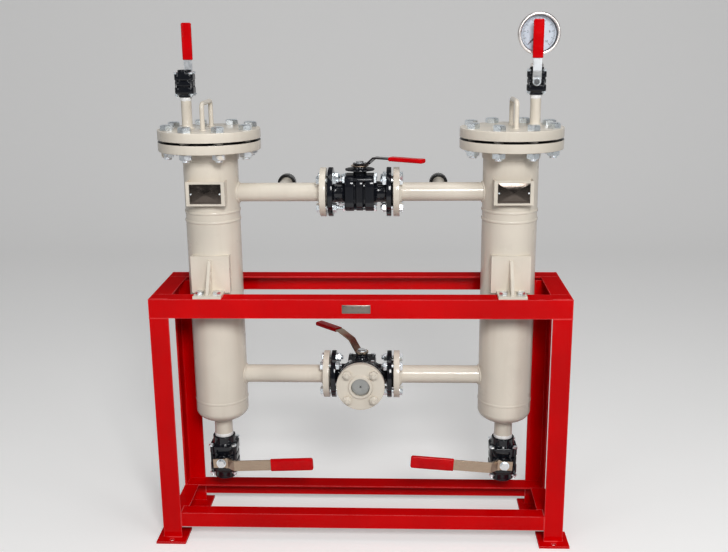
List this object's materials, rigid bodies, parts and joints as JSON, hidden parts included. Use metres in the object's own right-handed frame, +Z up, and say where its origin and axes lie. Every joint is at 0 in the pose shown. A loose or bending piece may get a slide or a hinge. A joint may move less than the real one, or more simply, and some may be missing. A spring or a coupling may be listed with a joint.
{
  "type": "backwash duplex filter",
  "caption": "Side-by-side vertical filter vessels on a red angle-iron stand, joined by a lower three-way valve and an upper crossover valve, with drain and vent valves and a gauge.",
  "frame": {"origin": "centre of the stand's footprint, on the floor under the base plates", "axes": "+X to the right seen from the front, +Y to the rear, +Z up"},
  "size_m": [1.1, 0.332, 1.3695],
  "materials": {
    "frame_paint": "gloss",
    "vessel_paint": "gloss",
    "zinc_bolts": "satin",
    "valve_paint": "gloss",
    "lever_steel": "satin",
    "grip_plastic": "gloss",
    "gasket": "matte",
    "seal": "matte",
    "seat_plastic": "matte",
    "ball_steel": "polished",
    "mirror_plate": "polished",
    "element_steel": "satin",
    "cap_plastic": "satin",
    "gauge_steel": "polished",
    "dial_face": "matte",
    "pointer_black": "matte",
    "gauge_glass": "clear"
  },
  "bodies": {
    "skid": {"legs": "frame_paint", "top_long_rails": "frame_paint", "top_side_rails": "frame_paint", "bottom_long_rails": "frame_paint", "bottom_side_rails": "frame_paint", "base_plates": "frame_paint", "left_shell": "vessel_paint", "right_shell": "vessel_paint", "body_flanges": "vessel_paint", "cover_gaskets": "gasket", "covers": "vessel_paint", "cover_handles": "vessel_paint", "cover_bolts": "zinc_bolts", "cover_nuts": "zinc_bolts", "element_seats": "vessel_paint", "element_seals": "seal", "filter_elements": "element_steel", "support_lugs": "vessel_paint", "lug_bolts": "zinc_bolts", "nameplate_brackets": "vessel_paint", "bare_plates": "mirror_plate", "upper_pipes": "vessel_paint", "lower_pipes": "vessel_paint", "pipe_flanges": "vessel_paint", "pipe_gaskets": "gasket", "inlet_blank": "gasket", "flange_bolts": "zinc_bolts", "inlet_bolts": "vessel_paint", "outlet_caps": "cap_plastic", "crossover_body": "valve_paint", "crossover_ends": "valve_paint", "three_way_body": "valve_paint", "three_way_ends": "valve_paint", "drain_valve_bodies": "valve_paint", "vent_valve_bodies": "valve_paint", "valve_seats": "seat_plastic", "valve_body_bolts": "zinc_bolts", "gauge_case": "gauge_steel", "gauge_dial": "dial_face", "gauge_window": "gauge_glass"},
    "crossover_handle": {"crossover_stem": "ball_steel", "crossover_lever": "lever_steel", "crossover_grip": "grip_plastic"},
    "three_way_handle": {"three_way_stem": "ball_steel", "three_way_lever": "lever_steel", "three_way_grip": "grip_plastic"},
    "left_drain_handle": {"left_drain_stem": "ball_steel", "left_drain_lever": "lever_steel", "left_drain_grip": "grip_plastic"},
    "right_drain_handle": {"right_drain_stem": "ball_steel", "right_drain_lever": "lever_steel", "right_drain_grip": "grip_plastic"},
    "left_vent_handle": {"left_vent_stem": "ball_steel", "left_vent_lever": "lever_steel", "left_vent_grip": "grip_plastic"},
    "right_vent_handle": {"right_vent_stem": "ball_steel", "right_vent_lever": "lever_steel", "right_vent_grip": "grip_plastic"},
    "gauge_needle": {"gauge_pointer": "pointer_black"}
  },
  "joints": [
    {"name": "crossover_turn", "type": "hinge", "parent": "skid", "child": "crossover_handle", "pos_m": [0, 0, 0.925], "axis": [0, 0, 1], "range_deg": [-60, 30]},
    {"name": "three_way_turn", "type": "hinge", "parent": "skid", "child": "three_way_handle", "pos_m": [0, 0, 0.426], "axis": [0, 0, 1], "range_deg": [-44, 46]},
    {"name": "left_drain_turn", "type": "hinge", "parent": "skid", "child": "left_drain_handle", "pos_m": [-0.385, 0, 0.186], "axis": [0, -1, 0], "range_deg": [-2.2, 87.8]},
    {"name": "right_drain_turn", "type": "hinge", "parent": "skid", "child": "right_drain_handle", "pos_m": [0.385, 0, 0.186], "axis": [0, 1, 0], "range_deg": [-4.4, 85.6]},
    {"name": "left_vent_turn", "type": "hinge", "parent": "skid", "child": "left_vent_handle", "pos_m": [-0.44, 0, 1.203], "axis": [0, -1, 0], "range_deg": [0, 90]},
    {"name": "right_vent_turn", "type": "hinge", "parent": "skid", "child": "right_vent_handle", "pos_m": [0.4425, 0, 1.203], "axis": [0.1045, 0.9945, 0], "range_deg": [0, 90]},
    {"name": "gauge_needle_swing", "type": "hinge", "parent": "skid", "child": "gauge_needle", "pos_m": [0.4425, 0.02, 1.317], "axis": [0, 1, 0], "range_deg": [0, 270], "stiffness_Nm_per_rad": 0.0006}
  ]
}
